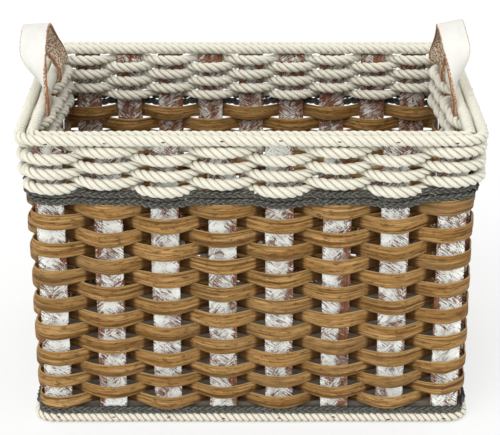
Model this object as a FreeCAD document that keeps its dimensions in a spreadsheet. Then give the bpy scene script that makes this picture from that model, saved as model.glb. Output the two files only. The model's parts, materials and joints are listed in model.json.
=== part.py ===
"""Woven file basket: painted stakes on a board, reed and rope rows woven round them, two strap handles.

Millimetres, +Z up. The origin is under the middle of the base board, on the surface it stands on, and
the front wall faces -Y.
"""
import FreeCAD, Part
import math
import os
from FreeCAD import Placement, Rotation, Vector

doc = FreeCAD.newDocument("woven_file_basket")
sheet = doc.addObject("Spreadsheet::Sheet", "Sizes")

SIZES = [
    ("wall_width", 355.0, "between the middles of the left and the right stakes"),
    ("wall_depth", 250.0, "between the middles of the front and the back stakes"),
    ("front_count", 8, "stakes in the front wall"),
    ("back_count", 9, "stakes in the back wall"),
    ("side_count", 5, "stakes in each side wall"),
    ("front_inset", 14.8, "side wall to the nearest front stake"),
    ("back_inset", 25.5, "side wall to the nearest back stake"),
    ("side_inset", 29.0, "front or back wall to the nearest side stake"),
    ("stake_wide", 23.0, "stake, along the wall"),
    ("stake_thick", 4.0, "stake, across the wall"),
    ("stake_bevel", 0.8, "rounding of a stake's long edges"),
    ("board_thick", 16.8, "base board"),
    ("board_corner", 7.0, "radius of the board's corners"),
    ("layer_gap", 0.2, "between rows that lie on each other"),
    ("fit_gap", 0.3, "between pieces that lie side by side"),
    ("base_rope", 8.4, "rope under the feet of the stakes"),
    ("foot_cord_high", 7.0, "flat braid round the feet, height"),
    ("foot_cord_wide", 4.0, "flat braid round the feet, thickness"),
    ("rope_corner", 9.0, "radius of the wall's middle line inside the rim's and the base rope's corners"),
    ("narrow_rows", 4, "lower rows of narrow reed"),
    ("narrow_reed", 9.5, "height of a narrow reed"),
    ("wide_rows", 12, "rows of wide reed above them"),
    ("wide_reed", 11.8, "height of a wide reed"),
    ("reed_thick", 2.0, "thickness of a reed"),
    ("reed_bulge", 5.5, "how far a reed stands off the stake that it passes"),
    ("reed_flat", 12.0, "straight stretch of a reed at a stake"),
    ("band_cord", 5.3, "each of the two cords between reeds and ropes"),
    ("rope_rows", 6, "woven rows of rope"),
    ("rope_high", 5.9, "woven rope, squeezed height"),
    ("rope_wide", 8.4, "woven rope, width"),
    ("rope_ease", 2.0, "how much longer a rope runs straight at a stake than a strap is wide"),
    ("rim_rope", 9.6, "each of the two rim ropes"),
    ("rim_angle", 10.0, "slope from the outer rim rope up to the inner one, degrees"),
    ("strap_wide", 22.5, "handle strap, width"),
    ("strap_thick", 2.5, "handle strap, thickness"),
    ("strap_rise", 55.0, "handle loop above the rim"),
    ("strap_flat", 60.0, "how far up its arch a loop has turned to lie across the wall, degrees"),
    ("left_lean", -3.0, "how far the left loop leans in at rest, degrees"),
    ("right_lean", 20.0, "how far the right loop leans in at rest, degrees"),
    ("strap_tail", 45.0, "strap end that is held in the weave"),
]
for row, (alias, value, note) in enumerate(SIZES, start=1):
    sheet.set(f"A{row}", alias)
    sheet.set(f"B{row}", str(value))
    sheet.setAlias(f"B{row}", alias)
    sheet.set(f"C{row}", note)
doc.recompute()


def size(alias):
    return float(sheet.get(alias))


def count(alias):
    return int(round(size(alias)))


# Corner distance of an octagon over the distance of its flats.
OCTAGON_CORNER = 1 / math.cos(math.radians(22.5))
# Four corners lie in one plane where they span less than this, in cubic millimetres.
FLAT_VOLUME = 1e-6
# Half a flat of an octagon whose flats are one apart.
OCTAGON_FLAT = math.tan(math.radians(22.5)) / 2

half_x = size("wall_width") / 2
half_y = size("wall_depth") / 2
gap = size("fit_gap")
stake_half = size("stake_thick") / 2

# Heights, from the floor up.
reeds_start = size("board_thick") + size("layer_gap")
wide_start = reeds_start + count("narrow_rows") * (size("narrow_reed") + size("layer_gap"))
band_start = wide_start + count("wide_rows") * (size("wide_reed") + size("layer_gap"))
ropes_start = band_start + 2 * (size("band_cord") + size("layer_gap"))
ropes_end = ropes_start + count("rope_rows") * (size("rope_high") + size("layer_gap"))

# How far the middles of the weavers swing to either side of the wall's middle line.
reed_swing = stake_half + size("reed_bulge") + size("reed_thick") / 2
rope_swing = stake_half + gap + size("strap_thick") + gap + size("rope_wide") / 2
rope_flat = size("strap_wide") + size("rope_ease")

# The rim: an outer rope flush with the woven ropes, and a higher one on the stakes' tops.
rim_pitch = size("rim_rope") * OCTAGON_CORNER + gap
rim_outer_out = rope_swing + size("rope_wide") / 2 - size("rim_rope") / 2
rim_outer_z = ropes_end + size("rim_rope") / 2
rim_inner_out = rim_outer_out - rim_pitch * math.cos(math.radians(size("rim_angle")))
rim_inner_z = rim_outer_z + rim_pitch * math.sin(math.radians(size("rim_angle")))
rim_top = rim_inner_z + size("rim_rope") / 2

# The stakes stand on the base rope and end under the inner rim rope.
stake_foot = size("base_rope") + size("layer_gap")
stake_top = rim_inner_z - size("rim_rope") / 2 - size("layer_gap")

STAKE_LENGTH = (
    "Sizes.board_thick + Sizes.layer_gap"
    " + Sizes.narrow_rows * (Sizes.narrow_reed + Sizes.layer_gap)"
    " + Sizes.wide_rows * (Sizes.wide_reed + Sizes.layer_gap)"
    " + 2 * (Sizes.band_cord + Sizes.layer_gap)"
    " + Sizes.rope_rows * (Sizes.rope_high + Sizes.layer_gap)"
    " + (Sizes.rim_rope / cos(22.5 deg) + Sizes.fit_gap) * sin(Sizes.rim_angle * 1 deg)"
    " - Sizes.base_rope - 2 * Sizes.layer_gap"
)

# The handle loops turn about these lines, just inside the rim.
strap_out = rim_inner_out - size("rim_rope") / 2 - gap - size("strap_thick") / 2
strap_z = rim_top


def wall_stations():
    """Stakes in weaving order: right wall to the back, back wall, left wall, front wall.

    Each is the wall's name, its number there, its middle, the way along the wall and the way out.
    """
    side_y = half_y - size("side_inset")
    front_x = half_x - size("front_inset")
    back_x = half_x - size("back_inset")
    walls = [
        ("right", count("side_count"), Vector(half_x, -side_y), Vector(half_x, side_y), Vector(1, 0)),
        ("back", count("back_count"), Vector(back_x, half_y), Vector(-back_x, half_y), Vector(0, 1)),
        ("left", count("side_count"), Vector(-half_x, side_y), Vector(-half_x, -side_y), Vector(-1, 0)),
        ("front", count("front_count"), Vector(-front_x, -half_y), Vector(front_x, -half_y), Vector(0, -1)),
    ]
    stations = []
    for wall, number, start, end, out in walls:
        along = (end - start).normalize()
        for index in range(number):
            middle = start + (end - start) * (index / (number - 1))
            stations.append((wall, index + 1, middle, along, out))
    return stations


def corner_turn(inset, swing, flat, long_side, short_side):
    """Points round a corner from a front or back stake to the side stake next to it.

    They are measured outwards from the corner of the wall's middle lines: across the side wall, then
    across the front or back wall. inset is the first stake's distance from the corner, and long_side and
    short_side are 1 where the weaver passes outside.
    """
    leave = -inset + flat / 2
    meet = -size("side_inset") + flat / 2
    between = -(size("side_inset") - size("stake_wide") / 2) / 2
    if long_side > 0 and short_side > 0:
        turn = [(leave, swing), (swing / 3, swing), (swing, swing / 3)]
    elif long_side > 0:
        turn = [(leave, swing), (swing / 2, swing / 2), (swing / 3, between)]
    elif short_side > 0:
        turn = [(leave, -swing), (swing / 3, between)]
    else:
        turn = [(-inset, -swing), (-swing, between)]
    return turn + [(short_side * swing, meet)]


def weave_path(swing, flat, first):
    """Closed run of points of one woven row; first is 1 where it passes outside the first stake."""
    stations = wall_stations()
    sides = [first * (-1) ** index for index in range(len(stations))]
    points = []
    for index, (wall, _, middle, along, out) in enumerate(stations):
        following = (index + 1) % len(stations)
        offset = middle + out * (swing * sides[index])
        if wall == stations[index - 1][0]:
            points.append(offset - along * (flat / 2))
        if wall == stations[following][0]:
            points.append(offset + along * (flat / 2))
            continue
        long_first = wall in ("front", "back")
        long_side = sides[index] if long_first else sides[following]
        short_side = sides[following] if long_first else sides[index]
        at_back = "back" in (wall, stations[following][0])
        inset = size("back_inset") if at_back else size("front_inset")
        turn = corner_turn(inset, swing, flat, long_side, short_side)
        if not long_first:
            turn.reverse()
        sign_x = 1 if "right" in (wall, stations[following][0]) else -1
        sign_y = 1 if at_back else -1
        points += [Vector(sign_x * (half_x + u), sign_y * (half_y + v)) for u, v in turn]
    return points


def shifted(points, distance):
    """The closed run moved sideways to its right, with its corners mitred."""
    moved = []
    for index, point in enumerate(points):
        before = (point - points[index - 1]).normalize()
        after = (points[(index + 1) % len(points)] - point).normalize()
        side = Vector(before.y + after.y, -before.x - after.x).normalize()
        moved.append(point + side * (distance / side.dot(Vector(after.y, -after.x))))
    return moved


def new_body(name):
    body = doc.addObject("PartDesign::Body", name)
    body.Label = name
    return body


def new_sketch(body, name, role, geometry):
    sketch = body.newObject("Sketcher::SketchObject", name)
    plane = next(item for item in body.Origin.OriginFeatures if item.Role == role)
    sketch.AttachmentSupport = [(plane, "")]
    sketch.MapMode = "FlatFace"
    sketch.addGeometry(geometry, False)
    return sketch


def outline(points):
    return [Part.LineSegment(points[index - 1], point) for index, point in enumerate(points)]


def pad(body, sketch, length):
    feature = body.newObject("PartDesign::Pad", body.Name + "_pad")
    feature.Profile = sketch
    feature.setExpression("Length", length)
    return feature


def rounded_run(reach_x, reach_y, radius):
    """Lines and arcs of a rounded rectangle, from the middle of its front side, anticlockwise."""
    corners = [(1, -1), (1, 1), (-1, 1), (-1, -1)]
    place = Vector(0, -reach_y)
    run = []
    for number, (sign_x, sign_y) in enumerate(corners):
        centre = Vector(sign_x * (reach_x - radius), sign_y * (reach_y - radius))
        begin = math.radians(90 * number - 90)
        angles = (begin, begin + math.pi / 4, begin + math.pi / 2)
        bend = [centre + Vector(math.cos(angle), math.sin(angle)) * radius for angle in angles]
        run.append(Part.LineSegment(place, bend[0]))
        run.append(Part.Arc(*bend))
        place = bend[2]
    run.append(Part.LineSegment(place, Vector(0, -reach_y)))
    return run


def make_base_board():
    body = new_body("base_board")
    inset = stake_half + gap
    outline_run = rounded_run(half_x - inset, half_y - inset, size("board_corner"))
    pad(body, new_sketch(body, "base_board_outline", "XY_Plane", outline_run), "Sizes.board_thick")
    return body


def make_stake(wall, number, middle, along):
    name = f"{wall}_stake_{number}"
    body = new_body(name)
    wide = size("stake_wide") / 2
    bevel = size("stake_bevel")
    quarter = [(wide, stake_half - bevel), (wide - bevel, stake_half)]
    corners = quarter + [(-x, y) for x, y in reversed(quarter)]
    corners += [(-x, -y) for x, y in corners]
    section = outline([Vector(x, y) for x, y in corners])
    pad(body, new_sketch(body, name + "_section", "XY_Plane", section), STAKE_LENGTH)
    turn = math.degrees(math.atan2(along.y, along.x))
    body.Placement = Placement(middle + Vector(0, 0, stake_foot), Rotation(Vector(0, 0, 1), turn))
    return body


def make_reed_rows():
    half = size("reed_thick") / 2
    rows = []
    low, high = count("narrow_rows"), count("wide_rows")
    for row in range(low + high):
        name = f"reed_row_{row + 1:02d}"
        body = new_body(name)
        path = weave_path(reed_swing, size("reed_flat"), -1 if row % 2 == 0 else 1)
        band = outline(shifted(path, half)) + outline(shifted(path, -half))
        sketch = new_sketch(body, name + "_band", "XY_Plane", band)
        lifted = "Sizes.board_thick + Sizes.layer_gap"
        if row < low:
            pad(body, sketch, "Sizes.narrow_reed")
            lifted += f" + {row} * (Sizes.narrow_reed + Sizes.layer_gap)"
        else:
            pad(body, sketch, "Sizes.wide_reed")
            lifted += " + Sizes.narrow_rows * (Sizes.narrow_reed + Sizes.layer_gap)"
            lifted += f" + {row - low} * (Sizes.wide_reed + Sizes.layer_gap)"
        body.setExpression("Placement.Base.z", lifted)
        rows.append(body)
    return rows


def skin(rings, closed):
    """Solid with flat faces through a row of rings of points; a closed row joins its ends."""
    faces = []
    following = rings[1:] + (rings[:1] if closed else [])
    for near, far in zip(rings, following):
        for index in range(len(near)):
            corners = [near[index - 1], near[index], far[index], far[index - 1]]
            edge, diagonal, other = (corner - corners[0] for corner in corners[1:])
            flat = abs(edge.cross(diagonal).dot(other)) < FLAT_VOLUME
            pieces = [corners] if flat else [corners[:3], [corners[0], corners[2], corners[3]]]
            faces += [Part.Face(Part.makePolygon(piece + piece[:1])) for piece in pieces]
    if not closed:
        faces += [Part.Face(Part.makePolygon(ring + ring[:1])) for ring in (rings[0], rings[-1])]
    solid = Part.Solid(Part.Shell(faces))
    if solid.Volume < 0:
        solid.reverse()
    return solid


def woven_tube(path, section):
    """Solid that a section keeps along a closed run of straight stretches, mitred at its corners.

    The section is a list of places, across the run and up.
    """
    rails = [[place + Vector(0, 0, up) for place in shifted(path, across)] for across, up in section]
    return skin([list(ring) for ring in zip(*rails)], True)


def octagon(wide, high):
    quarter = [(0.5, OCTAGON_FLAT), (OCTAGON_FLAT, 0.5)]
    corners = quarter + [(-x, y) for x, y in reversed(quarter)]
    corners += [(-x, -y) for x, y in corners]
    return [(x * wide, y * high) for x, y in corners]


def ring_path(out, corner):
    """Closed run round the basket, beyond the wall's middle line by out, its corners in three stretches.

    The corner is the radius that the wall's own middle line would have there.
    """
    radius = corner + out
    points = []
    for corner, (sign_x, sign_y) in enumerate([(1, -1), (1, 1), (-1, 1), (-1, -1)]):
        centre = Vector(sign_x * (half_x + out - radius), sign_y * (half_y + out - radius))
        for step in range(4):
            angle = math.radians(90 * corner - 90 + 30 * step)
            points.append(centre + Vector(math.cos(angle), math.sin(angle)) * radius)
    return points


def make_tube(name, path, section, middle_z):
    tube = doc.addObject("Part::Feature", name)
    tube.Label = name
    tube.Shape = woven_tube(path, section)
    tube.Placement = Placement(Vector(0, 0, middle_z), Rotation())
    return tube


def make_rope_rows():
    wide, high = size("rope_wide") / 2, size("rope_high") / 2
    upper = [(wide, 0), (wide / 2, high), (-wide / 2, high)]
    section = upper + [(-across, -up) for across, up in upper]
    rows = []
    for row in range(count("rope_rows")):
        path = weave_path(rope_swing, rope_flat, -1 if row % 2 == 0 else 1)
        middle = ropes_start + high + row * (size("rope_high") + size("layer_gap"))
        rows.append(make_tube(f"rope_row_{row + 1}", path, section, middle))
    return rows


def make_cords():
    """Ropes and braids that are laid round the basket, outside the stakes or on their ends."""
    rim, base, band = size("rim_rope"), size("base_rope"), size("band_cord")
    foot_wide, foot_high = size("foot_cord_wide"), size("foot_cord_high")
    beside = stake_half + gap
    upper = band_start + band + size("layer_gap")
    wide_bend = size("rope_corner")
    # A cord beside the stakes bends past the last one's edge.
    bend = size("front_inset") - size("stake_wide") / 2 - gap
    cords = [
        ("base_rope", base / 2 - stake_half + gap, wide_bend, base, base, base / 2),
        ("foot_cord", beside + foot_wide / 2, bend, foot_wide, foot_high, stake_foot + foot_high / 2),
        ("band_cord_lower", beside + band / 2, bend, band, band, band_start + band / 2),
        ("band_cord_upper", beside + band / 2, bend, band, band, upper + band / 2),
        ("rim_outer_rope", rim_outer_out, wide_bend, rim, rim, rim_outer_z),
        ("rim_inner_rope", rim_inner_out, wide_bend, rim, rim, rim_inner_z),
    ]
    made = []
    for name, out, corner, wide, high, middle_z in cords:
        made.append(make_tube(name, ring_path(out, corner), octagon(wide, high), middle_z))
    return made


def strap_legs():
    """Distance of a held strap end from the middle of the side wall, at the last stake but one."""
    side_y = half_y - size("side_inset")
    return side_y - 2 * side_y / (count("side_count") - 1)


def make_handle(name, side):
    """Strap bent over into a loop: its legs lie along the wall, and its top lies across it.

    It is drawn upright about the line that it turns on, which the feet of its legs are rounded about,
    and then leans over that line.
    """
    steps = 14
    leg = strap_legs()
    wide, thick, rise = size("strap_wide"), size("strap_thick"), size("strap_rise")
    flat = math.radians(size("strap_flat"))
    foot_angles = [75, 45]
    arch = [(0, angle) for angle in foot_angles]
    arch += [(math.pi * step / steps, 0) for step in range(steps + 1)]
    arch += [(math.pi, -angle) for angle in reversed(foot_angles)]
    rings = []
    for place, foot in arch:
        share = min(1, place / flat, (math.pi - place) / flat)
        twist = math.pi / 2 * share ** 2 * (3 - 2 * share)
        if place > math.pi / 2:
            twist = math.pi - twist
        tangent = Vector(0, leg * math.sin(place), rise * math.cos(place)).normalize()
        across = Vector(side * math.sin(twist), math.cos(twist)) * (wide / 2)
        normal = tangent.cross(across).normalize() * (thick / 2 * math.cos(math.radians(foot)))
        middle = Vector(side * wide / 2 * math.sin(twist), -leg * math.cos(place), rise * math.sin(place))
        middle -= tangent * (thick / 2 * math.sin(math.radians(foot)))
        edges = (middle + across, middle - across)
        rings.append([edges[0] + normal, edges[1] + normal, edges[1] - normal, edges[0] - normal])
    handle = doc.addObject("Part::Feature", name)
    handle.Label = name
    handle.Shape = skin(rings, False)
    lean = size("left_lean") if side < 0 else size("right_lean")
    axis_middle = Vector(side * (half_x + strap_out), 0, strap_z)
    handle.Placement = Placement(axis_middle, Rotation(Vector(0, 1, 0), -side * lean))
    return handle


def make_tails(name, side):
    """The two ends of a strap, from under the loop down between the stakes and the ropes inside them."""
    half = size("strap_thick") / 2
    held_out = -stake_half - gap - half
    start = strap_z - half - gap
    # Under the rim they follow the slope of its inner rope out to the stakes.
    slope_tan = math.tan(math.radians(22.5))
    upper = rim_inner_z - size("rim_rope") * OCTAGON_FLAT - (gap + half) * slope_tan
    lower = upper - (held_out - strap_out)
    mitre = half * slope_tan
    bends = [(strap_out, start, 0), (strap_out, upper, mitre), (held_out, lower, mitre)]
    bends.append((held_out, start - size("strap_tail"), 0))
    faces = [(out + half, z + lift) for out, z, lift in bends]
    faces += [(out - half, z - lift) for out, z, lift in reversed(bends)]
    ends = []
    for number, leg_y in enumerate((-strap_legs(), strap_legs()), start=1):
        profile = doc.addObject("Part::Feature", f"{name}_profile_{number}")
        corners = [Vector(side * (half_x + out), leg_y - size("strap_wide") / 2, z) for out, z in faces]
        profile.Shape = Part.Face(Part.makePolygon(corners + corners[:1]))
        end = doc.addObject("Part::Extrusion", f"{name}_end_{number}")
        end.Base = profile
        end.DirMode = "Custom"
        end.Dir = Vector(0, 1, 0)
        end.Solid = True
        end.setExpression("LengthFwd", "Sizes.strap_wide")
        ends.append(end)
    tails = doc.addObject("Part::Compound", name)
    tails.Label = name
    tails.Links = ends
    return tails


nodes = [make_base_board()]
nodes += [make_stake(wall, number, middle, along) for wall, number, middle, along, _ in wall_stations()]
nodes += make_reed_rows()
nodes += make_cords()
nodes += make_rope_rows()
for side_name, side_sign in (("left", -1), ("right", 1)):
    nodes.append(make_handle(f"{side_name}_handle_strap", side_sign))
    nodes.append(make_tails(f"{side_name}_strap_tails", side_sign))
doc.recompute()

for item in doc.Objects:
    if "Invalid" in item.State or "Error" in item.State:
        raise RuntimeError(f"{item.Label} failed: {item.State}")
os.makedirs("parts", exist_ok=True)
for node in nodes:
    if node.Shape.isNull() or not node.Shape.isValid():
        raise RuntimeError(f"{node.Label} has no valid shape")
for node in nodes:
    node.Shape.exportStep(f"parts/{node.Label}.step")
print(len(nodes), "nodes, height of the rim", round(rim_top, 2))
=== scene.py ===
"""Looks of the woven file basket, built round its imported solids.

Metres, +Z up, and the front wall faces -Y. Places come from the frame's nodes. What only shows, such as
the lay of a rope or the crown of a reed, is named here.
"""

import json
import math
from collections import namedtuple

import bpy
import numpy as np
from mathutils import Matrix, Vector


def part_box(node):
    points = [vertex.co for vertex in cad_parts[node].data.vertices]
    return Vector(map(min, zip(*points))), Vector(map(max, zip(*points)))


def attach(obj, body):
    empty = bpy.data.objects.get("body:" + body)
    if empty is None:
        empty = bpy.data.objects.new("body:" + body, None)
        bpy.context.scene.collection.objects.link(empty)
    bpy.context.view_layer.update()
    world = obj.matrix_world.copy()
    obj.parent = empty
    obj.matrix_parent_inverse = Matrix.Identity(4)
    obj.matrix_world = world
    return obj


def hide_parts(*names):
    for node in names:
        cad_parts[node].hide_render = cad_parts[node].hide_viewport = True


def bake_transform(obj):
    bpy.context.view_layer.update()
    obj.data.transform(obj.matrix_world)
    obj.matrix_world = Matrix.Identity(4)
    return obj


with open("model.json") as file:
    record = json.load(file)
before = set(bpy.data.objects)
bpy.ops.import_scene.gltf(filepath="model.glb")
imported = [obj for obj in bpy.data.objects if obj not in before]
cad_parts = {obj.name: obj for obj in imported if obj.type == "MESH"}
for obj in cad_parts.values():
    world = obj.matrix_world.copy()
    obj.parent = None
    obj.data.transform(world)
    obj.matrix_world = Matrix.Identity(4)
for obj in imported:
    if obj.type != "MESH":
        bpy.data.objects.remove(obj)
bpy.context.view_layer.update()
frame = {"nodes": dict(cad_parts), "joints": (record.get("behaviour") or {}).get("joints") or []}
chance = np.random.default_rng(27)

MM = 0.001
UP = np.array([0.0, 0.0, 1.0])

# Radius of the corners of the line through the middles of the stakes.
WALL_CORNER = 11.0 * MM

# Reeds: section, lap, and how far a row swings out of the wall's line and sags where it is out.
REED_ROWS = 16
REED_THICK = 1.9 * MM
REED_SIDES = 14
REED_EDGE = 0.4
REED_CROWN = 0.75
REED_STEP = 2.2 * MM
REED_START = 6.0 * MM
REED_LAP = 34.0 * MM
REED_SWING = 8.8 * MM
REED_SWING_RANGE = (0.9, 1.08)
REED_CORNER = 0.4
REED_SAG = 0.9 * MM
REED_OVER_PITCH = 1.4 * MM
REED_TILT = math.radians(3.0)
REED_UNEVEN = 0.018
REED_WANDER = 0.22 * MM
REED_GRAIN_ALONG = 0.7
REED_GRAIN_ACROSS = 0.05

# Share of its swing that a reed keeps at the side stakes next to the front, in the lowest and the top row.
REED_TAUT_LOW = 0.42
REED_TAUT_HIGH = 0.72

# Painted shade on a reed's outer face where it dips in beside a stake, clearing again behind the stake:
# places are shares of the swing, each with the share over which it changes.
SHADE_FROM, SHADE_OVER = 0.08, 0.24
CLEAR_FROM, CLEAR_OVER = 0.55, 0.35
CLEAR_SHARE = 0.75

# All rows ride up at the two front corners: at the left, reeds more towards the top, and ropes less.
CORNER_SPAN = 60.0 * MM
REED_LEFT_RISE = 4.6 * MM
REED_RIGHT_RISE = 4.4 * MM
BAND_LEFT_RISE = 3.4 * MM
BAND_RIGHT_RISE = 5.6 * MM
ROPE_RISE = 3.4 * MM

# Woven ropes: lay is the length of one full turn of a strand. They are squeezed where rows cross.
STRANDS = 3
ROPE_SIDES = 8
ROPE_STEP = 1.5 * MM
ROPE_PLUMP = 1.06
ROPE_UNEVEN = 0.03
ROPE_YARN_APART = 0.31
ROPE_ROWS = 6
ROPE_WIDE = 9.6 * MM
WOVEN_LAY = 21.5 * MM
ROPE_PITCH = 6.7 * MM
ROPE_DROP = 0.9 * MM
ROPE_SAG = 0.8 * MM
ROPE_WANDER = 0.3 * MM
ROPE_SWING = 9.3 * MM
ROPE_SWING_RANGE = (0.95, 1.05)
ROPE_SQUEEZE = 0.64
ROPE_SWELL = 0.8
ROPE_FULLNESS = 0.72
ROPE_CORNER = 0.8

# Cords laid round the wall wander a little, out of it and up.
LAID_WANDER_OUT = 0.25 * MM
LAID_WANDER_UP = 0.2 * MM

# Ropes of the rim and under the stakes. The lowest one takes painted shade, most on its underside.
RIM_WIDE = 9.0 * MM
RIM_LAY = 20.0 * MM
RIM_RISE = 2.0 * MM
RIM_SETTLE = 1.6 * MM
BASE_WIDE = 9.0 * MM
BASE_LAY = 16.5 * MM
BASE_LIFT = 0.3 * MM
BASE_SHADE = 0.6
UNDER_SHADE_LEAST = 0.27
UNDER_SHADE_HEIGHT = 0.4

# Braided cords. Tuck is how far a cord is drawn in at each corner.
BRAID_SIDES = 7
BRAID_STEP = 0.9 * MM
BRAID_PLUMP = 1.05
BRAID_UNEVEN = 0.06
BRAID_YARN_APART = 0.23
BRAID_LAY = 18.0 * MM
BRAID_STRAND = 0.2
BAND_DIP = 2.2 * MM
BAND_WAVE = 1.3 * MM
BAND_PITCH = 6.7 * MM
BAND_HIGH = 6.5 * MM
BAND_THICK = 4.8 * MM
BAND_OUT = 6.4 * MM
BAND_RISE = 0.2 * MM
BAND_TUCK = 3.8 * MM
FOOT_THICK = 4.6 * MM
FOOT_TUCK = 3.0 * MM

# Brads: slope and lean are limits in degrees.
BRAD_LONG = 3.2 * MM
BRAD_THICK = 1.1 * MM
BRAD_SIDES = 6
BRAD_BOW = 0.35
BRAD_SLOPE = (-20, 25)
BRAD_LEAN = (-18, 18)
BRAD_GIRTH = (0.45, 0.95, 1.0, 0.95, 0.45)

# Stakes: the share of each front stake's width that is bare, from its left edge where it is below zero.
STAKE_STEP = 4.0 * MM
STAKE_ROUND = 0.9 * MM
STAKE_WANDER = 0.25 * MM
STAKE_UNEVEN = 0.010
STAKE_LEAN = 0.8 * MM
STAKE_ROUGH = 0.03 * MM
FRONT_BARE = (-0.12, -0.3, -0.05, 0.25, 0.25, 0.45, 0.12, -0.15)
OTHER_BARE = 0.4
BARE_RAGGED = 0.12
BARE_OVER = 0.12
STAKE_GRAIN_ALONG = 0.41
STAKE_GRAIN_ACROSS = 0.013

# How worn a stake is in its bare strip, along its edges and on its inner face, and how much more bare wood
# shows behind the ropes.
STRIP_WEAR = 0.5
EDGE_FROM = 0.42
EDGE_WEAR = 0.25
INNER_WEAR = 0.35
ROPED_BARE = 0.15
ROPED_OVER = 6.0 * MM

# Straps: how far up its arch a loop lies flat across the wall, how far each loop leans in at rest, and how
# far its rear leg is turned to the front and shifted in.
STRAP_WIDE = 22.5 * MM
STRAP_THICK = 3.5 * MM
STRAP_ROUND = 0.7 * MM
STRAP_UNEVEN = 0.012
STRAP_RISE = 51.5 * MM
STRAP_UNDER_RIM = 2.6 * MM
STRAP_FLAT = math.radians(60)
STRAP_LEAN = {"left": math.radians(-3), "right": math.radians(12)}
STRAP_TURN = {"left": math.radians(20), "right": math.radians(28)}
STRAP_SHIFT = {"left": 1.5 * MM, "right": 4.0 * MM}
TAIL_STEPS = 40
LOOP_STEPS = 81
REAR_SETTLE = 0.15

# A strap's raw rim shows on the inner face.
RAW_RIM = 2.6 * MM
RAW_RIM_OVER = 1.2 * MM

# Steps from the middle of a lath's or strap's face to its round edge, closer together towards the edge.
FACE_STEPS = 6
FACE_CROWDING = 0.7
EDGE_ANGLES = (15, 45, 75)

# Map for baking: the margin of each strip, and the width that an end cap takes.
BAKE_MARGIN = 0.04
CAP_WIDTH = 0.002

# Floor: the share of its look that is plain white, so that its shadow stays faint.
FLOOR_REACH = 8.0
FLOOR_GLOW = 0.6

# Light and camera.
WORLD_STRENGTH = 0.88
SUN_STRENGTH = 1.75
SUN_SPREAD = math.radians(50)
SUN_TURN = (math.radians(44), math.radians(-6), math.radians(-12))
SENSOR_MM = 36.0
LENS_MM = 123.1
CAMERA_PLACE = (-0.001, -1.4105, 0.7023)
CAMERA_DOWN = math.radians(21.9)


def middle(node):
    low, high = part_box(node)
    return (np.array(low) + np.array(high)) / 2


def wall_nodes(wall):
    found = [name for name in frame["nodes"] if name.startswith(wall + "_stake_")]
    return sorted(found, key=lambda name: int(name.rsplit("_", 1)[1]))


# The line through the middles of the stakes: four straight legs, each followed by a round corner.
HEADINGS = {"right": (0, 1), "back": (-1, 0), "left": (0, -1), "front": (1, 0)}
Leg = namedtuple("Leg", "wall begin run start heading out")
half_x = middle("right_stake_1")[0]
half_y = middle("back_stake_1")[1]
BEND = math.pi / 2 * WALL_CORNER
legs = []
wall_length = 0.0
for wall_name, wall_heading in HEADINGS.items():
    heading = np.array(wall_heading, float)
    out = np.array([heading[1], -heading[0]])
    reach = half_x if abs(out[0]) > 0.5 else half_y
    run = 2 * (half_x + half_y - reach - WALL_CORNER)
    legs.append(Leg(wall_name, wall_length, run, out * reach - heading * run / 2, heading, out))
    wall_length += run + BEND
rope_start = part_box("rope_row_1")[0][2]
rope_middle = (middle("rope_row_1")[2] + middle(f"rope_row_{ROPE_ROWS}")[2]) / 2 - ROPE_DROP
stations = np.array([
    leg.begin + (middle(node)[:2] - leg.start) @ leg.heading
    for leg in legs
    for node in wall_nodes(leg.wall)
])

# Places in the stations of the two side stakes next to the front wall.
next_to_front = [0, len(stations) - len(wall_nodes("front")) - 1]


def wall_line(distance):
    """Places on the line through the middles of the stakes, and the ways out of the basket there."""
    along = np.mod(distance, wall_length)
    place = np.zeros((len(along), 3))
    ways = np.zeros((len(along), 3))
    for leg in legs:
        here = (along >= leg.begin) & (along < leg.begin + leg.run + BEND)
        past = along[here] - leg.begin
        angle = np.clip(past - leg.run, 0, BEND) / WALL_CORNER
        way = np.outer(np.cos(angle), leg.out) + np.outer(np.sin(angle), leg.heading)
        straight = np.outer(np.minimum(past, leg.run), leg.heading)
        place[here, :2] = leg.start + straight + (way - leg.out) * WALL_CORNER
        ways[here, :2] = way
    return place, ways


def weave(distance, first, swings, fullness=1.0, corner=1.0):
    """How far a woven row lies outside the wall's line, and how near it is to a stake, from 0 to 1.

    first is 1 where the row passes outside the first stake, and swings has a reach for each stake.
    A fullness under 1 keeps the row out for longer and turns it in more sharply. Where a row passes two
    stakes on one side, it keeps the corner's share of its reach between them.
    """
    along = np.mod(distance, wall_length)
    before = np.searchsorted(stations, along, side="right") - 1
    after = (before + 1) % len(stations)
    pitch = np.mod(stations[after] - stations[before], wall_length)
    share = np.mod(along - stations[before], wall_length) / pitch
    sides = first * (-1.0) ** np.arange(len(stations))
    turn = np.cos(np.pi * share)
    turn = np.sign(turn) * np.abs(turn) ** fullness
    turn = np.where(sides[before] == sides[after], 1 - (1 - corner) * np.sin(np.pi * share), turn)
    swing = swings[before] * (1 - share) + swings[after] * share
    return sides[before] * turn * swing, np.abs(turn)


def apart(distance, place):
    """How far places on the wall's line are from one place on it, the shorter way round."""
    return np.abs(np.mod(distance - place + wall_length / 2, wall_length) - wall_length / 2)


def corner_rise(distance, left, right):
    """How far a row rides up near the two front corners."""
    front = legs[-1]
    near_left = smooth(1 - apart(distance, front.begin - BEND / 2) / CORNER_SPAN)
    near_right = smooth(1 - apart(distance, front.begin + front.run + BEND / 2) / CORNER_SPAN)
    return left * near_left + right * near_right


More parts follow.
